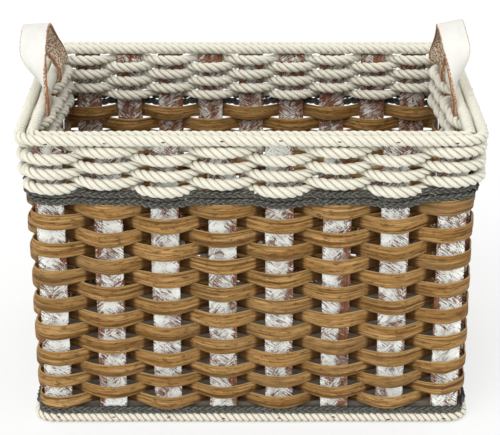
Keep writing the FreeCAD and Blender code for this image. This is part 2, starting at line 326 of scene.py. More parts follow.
def corner_share(distance):
    """How near places are to the middle of a corner, from 0 at its two stakes to 1."""
    low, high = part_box("front_stake_1")
    stake_wide = high[0] - low[0]
    total = np.zeros(len(distance))
    for last in np.cumsum([len(wall_nodes(wall)) for wall in HEADINGS]) - 1:
        pitch = np.mod(stations[(last + 1) % len(stations)] - stations[last], wall_length)
        away = apart(distance, stations[last] + pitch / 2) / (pitch - stake_wide)
        total += smooth(1.5 - 3 * away)
    return total


def drift(distance, size, longest, waves=5):
    """Slow irregular change along a closed run of the wall's length."""
    total = np.zeros(len(distance))
    for number in range(waves):
        turns = max(1, round(wall_length / longest * (1 + 0.7 * number)))
        phase = chance.uniform(0, 2 * math.pi)
        total += np.sin(2 * math.pi * turns * distance / wall_length + phase) / (1 + 0.5 * number)
    return size * total / math.sqrt(waves)


def smooth(share):
    share = np.clip(share, 0, 1)
    return share * share * (3 - 2 * share)


def unit(vectors):
    return vectors / np.linalg.norm(vectors, axis=-1, keepdims=True)


def tangents(points, closed):
    if closed:
        return unit(np.roll(points, -1, axis=0) - np.roll(points, 1, axis=0))
    return unit(np.gradient(points, axis=0))


def rightward(ahead):
    """The level ways to the right of the ways ahead, which lead out of the basket."""
    return unit(np.stack([ahead[:, 1], -ahead[:, 0], np.zeros(len(ahead))], -1))


def bake_share(side, sides):
    """A side's place across its strip of the map for baking, between the strip's margins."""
    return BAKE_MARGIN + (1 - 2 * BAKE_MARGIN) * side / sides


class Tubes:
    """Gathers tubes, each a row of rings of points, into one smooth mesh with two maps.

    The map "lay" holds metres along and round each tube. The map for baking cuts each tube into strips.
    Wear and shade says, from 0 to 1, how worn or raw a place is, or how deep the painted shade is where it is
    sunk or tucked in.
    """

    def __init__(self, strips):
        self.strips = strips
        self.tubes = 0
        self.places, self.faces, self.lay, self.bake, self.wear_and_shade, self.group = [], [], [], [], [], []
        self.count = 0

    def add(self, rings, along, around, closed, wear_and_shade=0.0, group=None):
        steps, sides = rings.shape[:2]
        spans = steps if closed else steps - 1
        i = np.arange(spans)[:, None]
        j = np.arange(sides)[None, :]
        corners = [(i, j), (i + 1, j), (i + 1, j + 1), (i, j + 1)]
        index = [np.broadcast_to(a % steps * sides + b % sides, (spans, sides)) for a, b in corners]
        faces = np.stack(index, -1).reshape(-1, 4)
        lay = [np.stack(np.broadcast_arrays(along[a], around[b]), -1) for a, b in corners]
        per_strip = math.ceil(spans / self.strips)
        strip = i // per_strip
        row = self.tubes * self.strips + strip
        bake = [
            np.stack(np.broadcast_arrays(a / per_strip - strip, row + bake_share(b, sides)), -1)
            for a, b in corners
        ]
        group = np.zeros(sides, int) if group is None else np.array(group)
        groups = np.broadcast_to(group[None, :], (spans, sides)).reshape(-1)
        lay = np.stack(lay, 2).reshape(-1, 4, 2)
        bake = np.stack(bake, 2).reshape(-1, 4, 2)
        if not closed:
            drawn = faces, lay, bake, groups
            faces, lay, bake, groups = self.capped(drawn, steps, sides, along, around, row)
        flat = rings.reshape(-1, 3)
        a, b, c, d = (flat[faces[:, k]] for k in range(4))
        volume = np.sum(a * (np.cross(b, c) + np.cross(c, d)))
        order = [0, 1, 2, 3] if volume > 0 else [0, 3, 2, 1]
        self.faces.append(faces[:, order] + self.count)
        self.lay.append(lay[:, order].reshape(-1, 2))
        self.bake.append(bake[:, order].reshape(-1, 2))
        self.group.append(groups)
        self.places.append(flat)
        self.wear_and_shade.append(np.broadcast_to(wear_and_shade, (steps, sides)).reshape(-1))
        self.count += len(flat)
        self.tubes += 1

    def capped(self, drawn, steps, sides, along, around, row):
        """Closes both ends of an open tube with quads from one half of the ring to the other."""
        faces, lay, bake, groups = drawn
        half = sides // 2 - 1
        j = np.arange(half)
        ring = np.stack([j, j + 1, sides - 2 - j, sides - 1 - j], -1)
        ends = [
            (0, ring[:, ::-1], along[0], row[0, 0]),
            ((steps - 1) * sides, ring, along[-1], row[-1, 0]),
        ]
        for start, quads, place, strip in ends:
            faces = np.concatenate([faces, quads + start])
            flat = np.stack([np.full(quads.shape, place), around[quads]], -1)
            lay = np.concatenate([lay, flat])
            spot = np.stack([CAP_WIDTH * (quads > half), strip + bake_share(quads, sides)], -1)
            bake = np.concatenate([bake, spot])
            groups = np.concatenate([groups, np.full(half, groups.max())])
        return faces, lay, bake, groups

    def build(self, name, materials):
        mesh = bpy.data.meshes.new(name)
        mesh.from_pydata(np.concatenate(self.places).tolist(), [], np.concatenate(self.faces).tolist())
        bake = np.concatenate(self.bake)
        bake[:, 1] /= self.tubes * self.strips
        for title, values in (("lay", np.concatenate(self.lay)), ("OFBake", bake)):
            layer = mesh.uv_layers.new(name=title)
            layer.uv.foreach_set("vector", values.astype(np.float32).ravel())
        mesh.uv_layers.active = mesh.uv_layers["lay"]
        wear_and_shade = mesh.attributes.new("wear_and_shade", "FLOAT", "POINT")
        wear_and_shade.data.foreach_set("value", np.concatenate(self.wear_and_shade).astype(np.float32))
        mesh.polygons.foreach_set("material_index", np.concatenate(self.group).astype(np.int32))
        mesh.polygons.foreach_set("use_smooth", np.ones(len(mesh.polygons), bool))
        for material in materials:
            mesh.materials.append(material)
        mesh.update()
        piece = bpy.data.objects.new(name, mesh)
        bpy.context.scene.collection.objects.link(piece)
        return piece


def dress(piece, slot, *nodes, body="basket"):
    """The piece rides on a body and stands for these nodes, which it hides. The slot is not used."""
    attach(piece, body)
    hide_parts(*nodes)
    return piece


class Shader:
    """A Principled material, with short ways to add the nodes in front of it."""

    def __init__(self, name, **constants):
        self.material = bpy.data.materials.new(name)
        self.material.use_nodes = True
        self.tree = self.material.node_tree
        self.surface = self.tree.nodes["Principled BSDF"]
        for socket, value in constants.items():
            self.surface.inputs[socket.replace("_", " ")].default_value = value

    def put(self, target, value):
        if isinstance(value, bpy.types.NodeSocket):
            self.tree.links.new(value, target)
        else:
            target.default_value = value

    def node(self, kind, inputs=(), **settings):
        made = self.tree.nodes.new("ShaderNode" + kind)
        for key, value in settings.items():
            setattr(made, key, value)
        for key, value in dict(inputs).items():
            self.put(made.inputs[key], value)
        return made

    def lay(self, scale, turn=0.0, shift=(0, 0, 0)):
        """The map in metres, turned and stretched."""
        place = self.node("UVMap", uv_map="lay").outputs["UV"]
        turned = self.node("Mapping", {"Vector": place, "Rotation": (0, 0, turn), "Location": shift})
        return self.node("Mapping", {"Vector": turned.outputs["Vector"], "Scale": scale}).outputs["Vector"]

    def spot(self, scale):
        place = self.node("TexCoord").outputs["Object"]
        return self.node("Mapping", {"Vector": place, "Scale": scale}).outputs["Vector"]

    def noise(self, vector, detail=3.0, rough=0.55, scale=1.0, distort=0.0):
        inputs = {
            "Vector": vector, "Scale": scale, "Detail": detail, "Roughness": rough, "Distortion": distort,
        }
        return self.node("TexNoise", inputs).outputs["Fac"]

    # Real wear and painted shade, read from the mesh's attribute.
    def wear_and_shade(self):
        return self.node("Attribute", attribute_name="wear_and_shade").outputs["Fac"]

    def math(self, kind, first, second=0.0):
        return self.node("Math", {0: first, 1: second}, operation=kind).outputs[0]

    def band(self, value, low, high, to_low=0.0, to_high=1.0):
        """The value brought from one range to another, with soft ends."""
        inputs = {"Value": value, "From Min": low, "From Max": high, "To Min": to_low, "To Max": to_high}
        return self.node("MapRange", inputs, interpolation_type="SMOOTHSTEP").outputs["Result"]

    def mix(self, share, first, second):
        made = self.node("Mix", data_type="RGBA")
        self.put(made.inputs[0], share)
        for socket, value in ((made.inputs[6], first), (made.inputs[7], second)):
            self.put(socket, value if isinstance(value, bpy.types.NodeSocket) else (*value, 1.0))
        return made.outputs[2]

    def ramp(self, share, stops):
        made = self.node("ValToRGB", {"Fac": share})
        elements = made.color_ramp.elements
        while len(elements) < len(stops):
            elements.new(0.5)
        for element, (place, colour) in zip(elements, stops):
            element.position = place
            element.color = (*colour, 1.0)
        return made.outputs["Color"]

    def finish(self, colour, rough=None, height=None, depth=0.0):
        self.put(self.surface.inputs["Base Color"], colour)
        if rough is not None:
            self.put(self.surface.inputs["Roughness"], rough)
        if height is not None:
            inputs = {"Height": height, "Distance": depth, "Strength": 1.0}
            bump = self.node("Bump", inputs)
            self.tree.links.new(bump.outputs["Normal"], self.surface.inputs["Normal"])
        return self.material


def rope_material():
    """Cream cotton: yarns run slantwise over each strand, and tan painted shade lies in the grooves between
    the strands.
    """
    shader = Shader("cream_rope", Specular_IOR_Level=0.2, Sheen_Weight=0.15, Sheen_Roughness=0.6)
    yarns = shader.node("TexWave", {
        "Vector": shader.lay((1, 1, 1), math.radians(34)), "Scale": 330.0, "Distortion": 1.2, "Detail": 2.0,
        "Detail Scale": 1.5,
    }, wave_type="BANDS", bands_direction="Y").outputs["Fac"]
    fibres = shader.noise(shader.lay((900, 5200, 1), math.radians(34)), 4.0, 0.65)
    patches = shader.noise(shader.lay((60, 60, 1)), 2.0)
    # Tan painted shade in the grooves between the strands.
    groove_shade = shader.band(shader.wear_and_shade(), 0.28, 0.58)
    cream = shader.mix(patches, (0.86, 0.845, 0.745), (0.79, 0.757, 0.63))
    lined = shader.mix(shader.band(yarns, 0.0, 0.45, 0.28, 0.0), cream, (0.60, 0.53, 0.37))
    flecked = shader.mix(shader.band(fibres, 0.58, 0.78, 0.0, 0.3), lined, (0.52, 0.43, 0.28))
    colour = shader.mix(groove_shade, flecked, (0.43, 0.345, 0.195))
    height = shader.math("ADD", shader.math("MULTIPLY", yarns, 0.75), shader.math("MULTIPLY", fibres, 0.5))
    return shader.finish(colour, shader.band(fibres, 0.3, 0.7, 0.8, 0.95), height, 0.35 * MM)


def cord_material():
    """Charcoal braid: pale grey yarns along each strand, black painted shade between the strands."""
    shader = Shader("grey_cord", Specular_IOR_Level=0.25, Sheen_Weight=0.1, Sheen_Roughness=0.5)
    yarns = shader.node("TexWave", {
        "Vector": shader.lay((1, 1, 1), math.radians(14)), "Scale": 300.0, "Distortion": 2.0, "Detail": 2.0,
        "Detail Scale": 1.2,
    }, wave_type="BANDS", bands_direction="Y").outputs["Fac"]
    fibres = shader.noise(shader.lay((500, 3600, 1)), 4.0, 0.65)
    worn = shader.noise(shader.lay((90, 90, 1)), 2.0)
    light = shader.math("MULTIPLY", shader.band(yarns, 0.2, 0.75), shader.band(worn, 0.3, 0.7, 0.4, 1.0))
    grey = shader.mix(light, (0.034, 0.032, 0.026), (0.25, 0.244, 0.206))
    flecked = shader.mix(shader.band(fibres, 0.56, 0.72, 0.0, 0.55), grey, (0.33, 0.324, 0.283))
    # Black painted shade where the strands meet.
    colour = shader.mix(shader.band(shader.wear_and_shade(), 0.04, 0.34), flecked, (0.004, 0.004, 0.003))
    height = shader.math("ADD", shader.math("MULTIPLY", yarns, 0.7), shader.math("MULTIPLY", fibres, 0.5))
    return shader.finish(colour, shader.band(fibres, 0.3, 0.7, 0.7, 0.9), height, 0.4 * MM)


def reed_material():
    """Golden brown stain on flat reed: grain along it, dark streaks, edges paled by cut fibre and painted
    highlight, painted shade where tucked in.
    """
    shader = Shader("brown_reed", Specular_IOR_Level=0.12)
    grain = shader.noise(shader.lay((14, 950, 1)), 5.0, 0.68, distort=0.3)
    lines = shader.noise(shader.lay((55, 1500, 1)), 5.0, 0.75)
    flecks = shader.noise(shader.lay((130, 1200, 1), shift=(1.3, 4.4, 0)), 3.0, 0.65)
    streaks = shader.noise(shader.lay((4, 620, 1), shift=(3.1, 1.7, 0)), 3.0, 0.6, distort=0.5)
    patches = shader.noise(shader.lay((9, 60, 1), shift=(7.0, 2.0, 0)), 2.0)
    gold = shader.ramp(grain, [(0.36, (0.190, 0.086, 0.019)), (0.49, (0.325, 0.176, 0.055)),
                               (0.63, (0.475, 0.298, 0.124))])
    flecked = shader.mix(shader.band(flecks, 0.55, 0.61, 0.0, 0.66), gold, (0.060, 0.024, 0.004))
    lined = shader.mix(shader.band(lines, 0.5, 0.56, 0.0, 0.5), flecked, (0.095, 0.041, 0.008))
    stretch = shader.mix(shader.band(patches, 0.52, 0.7, 0.0, 0.5), lined, (0.165, 0.098, 0.042))
    streaked = shader.mix(shader.band(streaks, 0.54, 0.60, 0.0, 0.62), stretch, (0.056, 0.023, 0.005))
    # Pale top and bottom edges: partly the paler cut fibre, partly painted highlight.
    upward = shader.node("SeparateXYZ", {0: shader.node("NewGeometry").outputs["Normal"]}).outputs["Z"]
    cut_and_highlight = shader.band(shader.math("ABSOLUTE", upward), 0.45, 0.95, 0.0, 0.6)
    with_cut_and_highlight = shader.mix(cut_and_highlight, streaked, (0.56, 0.385, 0.175))
    # Near-black painted shade where the reed is tucked in beside a stake.
    colour = shader.mix(shader.band(shader.wear_and_shade(), 0.0, 1.0, 0.0, 0.8), with_cut_and_highlight, (0.040, 0.012, 0.001))
    height = shader.math("SUBTRACT", grain, shader.math("MULTIPLY", streaks, 0.5))
    return shader.finish(colour, shader.band(grain, 0.3, 0.7, 0.7, 0.55), height, 0.3 * MM)


def paint_material():
    """White paint on red-brown wood: worn through in slanting strokes, and bare along some edges."""
    shader = Shader("painted_stake", Specular_IOR_Level=0.3)
    falling = shader.noise(shader.lay((115, 1200, 1), math.radians(-52)), 4.0, 0.68, distort=0.5)
    rising = shader.noise(shader.lay((125, 1150, 1), math.radians(46), (2, 5, 0)), 4.0, 0.68, distort=0.5)
    which = shader.band(shader.noise(shader.lay((55, 70, 1), shift=(8, 3, 0)), 1.0), 0.5, 0.58)
    broad = shader.noise(shader.lay((45, 75, 1), shift=(4, 9, 0)), 2.0)
    speckle = shader.noise(shader.lay((1100, 1100, 1)), 2.0, 0.6)
    strokes = shader.math("ADD", shader.math("MULTIPLY", falling, shader.math("SUBTRACT", 1.0, which)),
                          shader.math("MULTIPLY", rising, which))
    wear = shader.math("ADD", shader.math("MULTIPLY", strokes, 0.84), shader.math("MULTIPLY", broad, 0.44))
    wear = shader.math("ADD", wear, shader.math("MULTIPLY", speckle, 0.32))
    wear = shader.math("ADD", wear, shader.math("MULTIPLY", shader.wear_and_shade(), 0.2))
    bare = shader.band(wear, 0.82, 0.86)
    grain = shader.noise(shader.lay((25, 900, 1)), 3.0, 0.6)
    wood = shader.ramp(grain, [(0.36, (0.095, 0.031, 0.014)), (0.62, (0.30, 0.122, 0.058))])
    paint = shader.mix(shader.band(speckle, 0.4, 0.75), (0.925, 0.945, 0.90), (0.80, 0.815, 0.77))
    colour = shader.mix(bare, paint, wood)
    height = shader.math("SUBTRACT", shader.math("MULTIPLY", speckle, 0.3), bare)
    return shader.finish(colour, shader.band(bare, 0.0, 1.0, 0.55, 0.75), height, 0.2 * MM)


def board_material():
    """Grey stain that lets the grain of the board through."""
    shader = Shader("grey_board", Specular_IOR_Level=0.3)
    grain = shader.noise(shader.spot((9, 320, 320)), 5.0, 0.6, distort=0.6)
    pores = shader.noise(shader.spot((60, 1800, 1800)), 2.0)
    grey = shader.ramp(grain, [(0.3, (0.085, 0.07, 0.053)), (0.55, (0.17, 0.145, 0.112)),
                               (0.8, (0.27, 0.235, 0.187))])
    colour = shader.mix(shader.band(pores, 0.58, 0.72, 0.0, 0.6), grey, (0.05, 0.041, 0.031))
    return shader.finish(colour, shader.band(grain, 0.3, 0.7, 0.75, 0.6), grain, 0.25 * MM)


def leather_material(name, pale, dark, rim, speckle_share, fleck, grain_depth):
    """Strap leather: a fine pebble, dark flecks where the finish is thin or the hide raw, and a raw rim."""
    shader = Shader(name, Specular_IOR_Level=0.25)
    cells = shader.node("TexVoronoi", {"Vector": shader.lay((900, 900, 1)), "Scale": 1.0})
    pebble = cells.outputs["Distance"]
    nap = shader.noise(shader.lay((1 / fleck, 1 / fleck, 1)), 3.0, 0.6)
    cloud = shader.noise(shader.lay((55, 90, 1)), 3.0)
    specks = shader.math("MULTIPLY", shader.band(nap, 0.48, 0.54), speckle_share)
    soft = shader.mix(shader.band(cloud, 0.35, 0.75, 0.0, 0.4), pale, dark)
    flecked = shader.mix(specks, soft, dark)
    colour = shader.mix(shader.band(shader.wear_and_shade(), 0.0, 1.0, 0.0, 0.85), flecked, rim)
    height = shader.math("ADD", shader.math("MULTIPLY", pebble, 0.5), nap)
    return shader.finish(colour, shader.band(nap, 0.3, 0.7, 0.6, 0.8), height, grain_depth)


def brad_material():
    """Dull brown wire of the small brads."""
    shader = Shader("brad_wire", Metallic=0.6, Specular_IOR_Level=0.4)
    tarnish = shader.noise(shader.spot((900, 900, 900)), 3.0)
    colour = shader.ramp(tarnish, [(0.3, (0.035, 0.026, 0.018)), (0.7, (0.12, 0.085, 0.055))])
    return shader.finish(colour, shader.band(tarnish, 0.3, 0.7, 0.5, 0.75), tarnish, 0.05 * MM)


MATERIALS = {
    "rope": rope_material(),
    "cord": cord_material(),
    "reed": reed_material(),
    "paint": paint_material(),
    "board": board_material(),
    "brad": brad_material(),
    "strap_out": leather_material(
        "strap_white", (0.70, 0.695, 0.66), (0.60, 0.56, 0.48), (0.46, 0.27, 0.13),
        0.12, 0.8 * MM, 0.08 * MM),
    "strap_in": leather_material(
        "strap_suede", (0.84, 0.71, 0.55), (0.20, 0.083, 0.033), (0.29, 0.112, 0.038),
        0.95, 1.8 * MM, 0.5 * MM),
    "strap_edge": leather_material(
        "strap_edge", (0.74, 0.57, 0.40), (0.20, 0.078, 0.029), (0.22, 0.077, 0.026),
        0.95, 1.6 * MM, 0.4 * MM),
}


def flat_oval(sides):
    """Section of a reed, from -1 to 1 across it and through it: nearly flat faces and round edges."""
    angle = (np.arange(sides) + 0.5) / sides * 2 * math.pi
    across = np.sign(np.cos(angle)) * np.abs(np.cos(angle)) ** REED_EDGE
    through = np.sign(np.sin(angle)) * np.abs(np.sin(angle)) ** REED_CROWN
    return across, through


def make_reed(number):
    """One row of reed, woven once round the basket, with its two ends lapped."""
    node = f"reed_row_{number:02d}"
    low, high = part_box(node)
    first = -1 if number % 2 else 1
    start = stations[chance.integers(len(stations))] + REED_START
    steps = round((wall_length + REED_LAP) / REED_STEP)
    past = np.linspace(0, wall_length + REED_LAP, steps)
    distance = start + past
    swings = REED_SWING * chance.uniform(*REED_SWING_RANGE, len(stations))
    level = (number - 1) / (REED_ROWS - 1)
    swings[next_to_front] *= REED_TAUT_LOW + (REED_TAUT_HIGH - REED_TAUT_LOW) * level
    reach, near = weave(distance, first, swings, corner=REED_CORNER)
    lap = np.clip(past / REED_LAP, 0, 1) + np.clip((past - wall_length) / REED_LAP, 0, 1) - 1
    place, ways = wall_line(distance)
    path = place + ways * (reach + lap * REED_THICK * 0.5)[:, None]
    through = rightward(tangents(path, False))
    tilt = drift(distance, REED_TILT, 0.12)
    up = UP * np.cos(tilt)[:, None] + through * np.sin(tilt)[:, None]
    face = through * np.cos(tilt)[:, None] - UP * np.sin(tilt)[:, None]
    tall = (high[2] - low[2] + REED_OVER_PITCH * near) * (1 + drift(distance, REED_UNEVEN, 0.08))
    path[:, 2] = (low[2] + high[2]) / 2 - REED_SAG * np.maximum(reach, 0) / REED_SWING
    path[:, 2] += drift(distance, REED_WANDER, 0.1)
    path[:, 2] += corner_rise(distance, REED_LEFT_RISE * level, REED_RIGHT_RISE)
    across, deep = flat_oval(REED_SIDES)
    rings = path[:, None] + up[:, None] * (tall[:, None] / 2 * across)[..., None]
    rings = rings + face[:, None] * (REED_THICK / 2 * deep)[None, :, None]
    around = np.linspace(0, 2 * (high[2] - low[2]), REED_SIDES + 1) + number * REED_GRAIN_ACROSS
    inward = -reach / REED_SWING
    # Painted shade on the reed's outer face where it dips in beside a stake, clearing again behind it.
    tucked_shade = smooth((inward - SHADE_FROM) / SHADE_OVER)
    tucked_shade -= CLEAR_SHARE * smooth((inward - CLEAR_FROM) / CLEAR_OVER)
    tubes = Tubes(10)
    tubes.add(rings, past + number * REED_GRAIN_ALONG, around, False, tucked_shade[:, None] * smooth(deep + 0.5))
    return dress(tubes.build(f"reed_{number:02d}", [MATERIALS["reed"]]), "brown_reed", node)


def strand_rings(path, offset, facing, radius, sides, squeeze):
    """Rings of one strand that winds about a closed path, its section square to its own run."""
    ahead = tangents(path + offset, True)
    facing = unit(facing - ahead * np.sum(facing * ahead, -1, keepdims=True))
    aside = np.cross(facing, ahead)
    angle = np.arange(sides) / sides * 2 * math.pi
    section = np.cos(angle)[None, :, None] * facing[:, None] + np.sin(angle)[None, :, None] * aside[:, None]
    total = offset[:, None] + section * radius[:, None, None]
    total[..., 2] *= squeeze[:, None]
    return path[:, None] + total, (1 - np.cos(angle)) / 2


def run_along(path):
    lengths = np.linalg.norm(np.roll(path, -1, axis=0) - path, axis=-1)
    return np.concatenate([[0], np.cumsum(lengths)])


def make_rope(name, node, path, wide, lay, squeeze=None, shaded=0.0):
    """Three strands laid up right-handed along a closed path."""
    squeeze = np.ones(len(path)) if squeeze is None else squeeze
    along = run_along(path)
    out = rightward(tangents(path, True))
    turns = round(along[-1] / lay)
    radius = wide / (2 + 4 / math.sqrt(3))
    tubes = Tubes(12)
    for strand in range(STRANDS):
        angle = 2 * math.pi * (turns * along[:-1] / along[-1] + strand / STRANDS)
        facing = np.cos(angle)[:, None] * out - np.sin(angle)[:, None] * UP
        plump = ROPE_PLUMP + drift(np.linspace(0, wall_length, len(path)), ROPE_UNEVEN, 0.03)
        offset = facing * (wide / 2 - radius)
        # Sunk places, in the grooves between the strands, take painted shade.
        rings, sunk = strand_rings(path, offset, facing, radius * plump, ROPE_SIDES, squeeze)
        around = np.linspace(0, 2 * math.pi * radius, ROPE_SIDES + 1)
        # Painted shade on the base rope: its grooves a little wider all round, and darkest on its underside.
        under = smooth(1 - rings[..., 2] / (UNDER_SHADE_HEIGHT * wide))
        under_shade = shaded * (UNDER_SHADE_LEAST + (1 - UNDER_SHADE_LEAST) * under)
        tubes.add(rings, along + strand * ROPE_YARN_APART, around, True, sunk + under_shade)
    return dress(tubes.build(name, [MATERIALS["rope"]]), "cream_rope", node)


def make_braid(name, node, path, high, thick):
    """Three strands plaited flat along a closed path: each crosses the middle as it comes to the front."""
    radius = high * BRAID_STRAND
    along = run_along(path)
    out = rightward(tangents(path, True))
    turns = round(along[-1] / BRAID_LAY)
    tubes = Tubes(12)
    for strand in range(STRANDS):
        angle = 2 * math.pi * (turns * along[:-1] / along[-1] + strand / STRANDS)
        lift = np.sin(angle) * (high / 2 - radius)
        reach = np.sin(2 * angle) * (thick / 2 - radius)
        offset = UP * lift[:, None] + out * reach[:, None]
        plump = BRAID_PLUMP + drift(np.linspace(0, wall_length, len(path)), BRAID_UNEVEN, 0.02)
        rings, sunk = strand_rings(path, offset, out, radius * plump, BRAID_SIDES, np.ones(len(path)))
        around = np.linspace(0, 2 * math.pi * radius, BRAID_SIDES + 1)
        # Painted shade at each strand's sides, where it meets the next.
        tubes.add(rings, along + strand * BRAID_YARN_APART, around, True, np.minimum(sunk, 1 - sunk))
    return dress(tubes.build(name, [MATERIALS["cord"]]), "grey_cord", node)


def ring_distance(step):
    steps = round(wall_length / step)
    return np.arange(steps) / steps * wall_length


def laid_path(step, out, height):
    """Closed path of a cord that is laid round the wall."""
    distance = ring_distance(step)
    place, ways = wall_line(distance)
    path = place + ways * (out + drift(distance, LAID_WANDER_OUT, 0.2))[:, None]
    path[:, 2] = height + drift(distance, LAID_WANDER_UP, 0.15)
    return path


def make_rope_row(number):
    """One woven row of rope."""
    node = f"rope_row_{number}"
    distance = ring_distance(ROPE_STEP)
    swings = ROPE_SWING * chance.uniform(*ROPE_SWING_RANGE, len(stations))
    reach, near = weave(distance, -1 if number % 2 else 1, swings, ROPE_FULLNESS, ROPE_CORNER)
    place, ways = wall_line(distance)
    path = place + ways * reach[:, None]
    path[:, 2] = rope_middle + (number - (ROPE_ROWS + 1) / 2) * ROPE_PITCH - ROPE_SAG * reach / ROPE_SWING
    path[:, 2] += drift(distance, ROPE_WANDER, 0.08)
    rise = ROPE_RISE * (1 - (number - 1) / ROPE_ROWS)
    path[:, 2] += corner_rise(distance, rise, rise)
    squeeze = ROPE_SQUEEZE + (1 - ROPE_SQUEEZE) * near ** ROPE_SWELL
    return make_rope(f"woven_rope_{number}", node, path, ROPE_WIDE, WOVEN_LAY, squeeze)


def make_laid_ropes():
    """The rim's two ropes and the one under the stakes, which brads hold to each stake."""
    for node, wide, lay, rise, shaded in (
        ("rim_outer_rope", RIM_WIDE, RIM_LAY, RIM_RISE, 0.0),
        ("rim_inner_rope", RIM_WIDE, RIM_LAY, RIM_RISE - RIM_SETTLE, 0.0),
        ("base_rope", BASE_WIDE, BASE_LAY, 0.0, BASE_SHADE),
    ):
        low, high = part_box(node)
        height = max((low[2] + high[2]) / 2 + rise, wide / 2)
        out = (high[0] - low[0] - high[2] + low[2]) / 2 - half_x
        path = laid_path(ROPE_STEP, out, height)
        path[:, 2] = np.maximum(path[:, 2], wide / 2 + BASE_LIFT)
        make_rope(node.replace("_rope", "_twist"), node, path, wide, lay, shaded=shaded)
        if node != "rim_inner_rope":
            make_brads(node.replace("_rope", "_brads"), out, height, wide / 2)


def make_brads(name, out, height, radius):
    """A short wire across the face of a laid rope at each stake."""
    place, ways = wall_line(stations)
    tubes = Tubes(1)
    for spot, way in zip(place, ways):
        ahead = np.array([-way[1], way[0], 0.0])
        slope = math.radians(chance.uniform(*BRAD_SLOPE))
        lean = math.radians(chance.uniform(*BRAD_LEAN))
        face = way * math.cos(slope) + UP * math.sin(slope)
        side = np.cross(ahead, face)
        run = ahead * math.cos(lean) + side * math.sin(lean)
        centre = spot + way * out + UP * height + face * radius
        angle = np.arange(BRAD_SIDES) / BRAD_SIDES * 2 * math.pi
        section = np.cos(angle)[:, None] * face + np.sin(angle)[:, None] * np.cross(run, face)
        share = np.linspace(-0.5, 0.5, len(BRAD_GIRTH))
        bow = face * (BRAD_THICK * BRAD_BOW)
        line = centre + np.outer(share, run * BRAD_LONG) - np.outer((2 * share) ** 2, bow)
        girth = np.array(BRAD_GIRTH) * BRAD_THICK / 2
        rings = line[:, None] + section[None] * girth[:, None, None]
        around = np.linspace(0, math.pi * BRAD_THICK, BRAD_SIDES + 1)
        tubes.add(rings, share * BRAD_LONG, around, False)
    brads = tubes.build(name, [MATERIALS["brad"]])
    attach(brads, "basket")


def make_braids():
    """The cord round the feet of the stakes and the two between the reeds and the ropes."""
    low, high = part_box("foot_cord")
    distance = ring_distance(BRAID_STEP)
    corners = corner_share(distance)
    out = high[0] - FOOT_THICK / 2 - half_x
    path = laid_path(BRAID_STEP, out - FOOT_TUCK * corners, (low[2] + high[2]) / 2)
    make_braid("foot_braid", "foot_cord", path, high[2] - low[2], FOOT_THICK)
    band_z = (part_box("band_cord_lower")[0][2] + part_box("band_cord_upper")[1][2]) / 2 + BAND_RISE
    wave, near = weave(distance, -1, np.ones(len(stations)))
    for name, rise in (("lower", -0.5), ("upper", 0.5)):
        path = laid_path(BRAID_STEP, BAND_OUT - BAND_TUCK * corners, band_z + rise * BAND_PITCH)
        path[:, 2] -= BAND_DIP * near + BAND_WAVE * wave
        path[:, 2] += corner_rise(distance, BAND_LEFT_RISE, BAND_RIGHT_RISE)
        make_braid(f"band_braid_{name}", f"band_cord_{name}", path, BAND_HIGH, BAND_THICK)


def rounded_section(wide, thick, radius):
    """Places across and through a lath or strap, from the middle of its back face, with round edges."""
    flat = wide / 2 - radius
    deep = radius - thick / 2
    face = np.linspace(0, 1, FACE_STEPS) ** FACE_CROWDING * flat
    bend = np.radians(EDGE_ANGLES)
    corner = [(flat + radius * math.sin(a), deep - radius * math.cos(a)) for a in bend]
    quarter = [(x, -thick / 2) for x in face] + corner
    right = quarter + [(x, -y) for x, y in reversed(quarter)]
    left = [(-x, y) for x, y in reversed(right)]
    return np.array(right[:-1] + left[:-1])


def make_stake(leg, number):
    """One lath, a little uneven, with its own bare strip."""
    node = f"{leg.wall}_stake_{number}"
    low, high = (np.array(corner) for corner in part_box(node))
    ahead = np.array([*np.abs(leg.heading), 0.0])
    wide = (high - low) @ ahead
    outward = np.array([*leg.out, 0.0])
    thick = (high - low) @ np.abs(outward)
    steps = round((high[2] - low[2]) / STAKE_STEP) + 1
    height = np.linspace(low[2], high[2], steps)
    section = rounded_section(wide, thick, STAKE_ROUND)
    sides = len(section)
    wavy = drift(height, STAKE_WANDER, 0.1)
    wider = 1 + drift(height, STAKE_UNEVEN, 0.06)
    lean = chance.uniform(-STAKE_LEAN, STAKE_LEAN) * (height - low[2]) / (high[2] - low[2])
    centre = (low + high) / 2
    rings = np.zeros((steps, sides, 3))
    rings[:] = centre
    rings += ahead * ((section[:, 0] * wider[:, None]) + (wavy + lean)[:, None])[..., None]
    rings += outward * section[:, 1][None, :, None]
    rings[..., 2] = height[:, None]
    rings[..., :2] += chance.normal(0, STAKE_ROUGH, (steps, sides, 2))
    around = run_along(section)
    share = section[:, 0] / wide
    bare = FRONT_BARE[number - 1] if leg.wall == "front" else chance.uniform(-OTHER_BARE, OTHER_BARE)
    ragged = drift(height, BARE_RAGGED, 0.07)[:, None]
    strip = smooth((share * np.sign(bare) - 0.5 + abs(bare) + ragged) / BARE_OVER)
    edge = smooth((np.abs(share) - EDGE_FROM) / (0.5 - EDGE_FROM)) * EDGE_WEAR
    inside = np.where(section[:, 1] < 0, INNER_WEAR, 0.0)
    roped = smooth((height - rope_start) / ROPED_OVER)[:, None] * ROPED_BARE
    index = list(HEADINGS).index(leg.wall) * 10 + number
    tubes = Tubes(2)
    worn = np.maximum(np.maximum(strip * STRIP_WEAR, edge + inside), roped)
    along = height + STAKE_GRAIN_ALONG * index
    tubes.add(rings, along, around + STAKE_GRAIN_ACROSS * index, False, worn)
    return dress(tubes.build(f"{leg.wall}_lath_{number}", [MATERIALS["paint"]]), "painted_stake", node)


